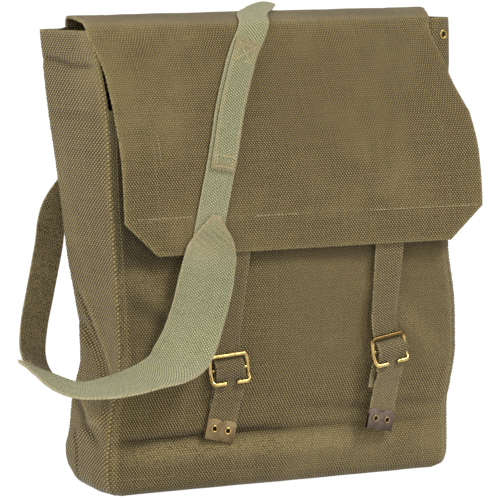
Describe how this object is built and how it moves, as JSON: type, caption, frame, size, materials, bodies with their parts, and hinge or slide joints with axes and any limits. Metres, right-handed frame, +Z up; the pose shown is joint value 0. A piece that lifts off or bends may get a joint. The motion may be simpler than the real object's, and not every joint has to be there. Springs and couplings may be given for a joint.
{
  "type": "haversack",
  "caption": "Upright woven-webbing haversack with a full-width flap, buckled closure straps and one hanging shoulder strap with a wide pad.",
  "frame": {"origin": "the middle of the flat base, on the surface that the bag stands on", "axes": "+Z up; the front with its flap and buckles faces -Y; +X is the right side as seen from the front"},
  "size_m": [0.3901, 0.1705, 0.399],
  "materials": {
    "canvas": "thick olive-khaki plain-woven cotton webbing cloth, matt, paler on its worn edges",
    "olive_webbing": "olive narrow-woven cotton webbing, matt",
    "pale_webbing": "pale sage-green cotton webbing with tan, frayed cut ends and faint stains",
    "brass": "worn drawn brass, bright on its high edges",
    "dark_brass": "dark brown patinated brass, dull"
  },
  "bodies": {
    "root": {"front_panel": "canvas", "back_panel": "canvas", "gusset_left": "canvas", "gusset_right": "canvas", "base_panel": "canvas", "flap": "canvas", "closure_strap_left": "olive_webbing", "closure_strap_right": "olive_webbing", "buckle_chape_left": "olive_webbing", "buckle_chape_right": "olive_webbing", "buckle_left": "brass", "buckle_right": "brass", "strap_tip_left": "brass", "strap_tip_right": "dark_brass", "eyelet_right": "brass", "shoulder_strap_front": "pale_webbing", "shoulder_strap_lap": "pale_webbing", "shoulder_strap_pad": "pale_webbing", "shoulder_strap_rear": "olive_webbing"}
  },
  "joints": []
}
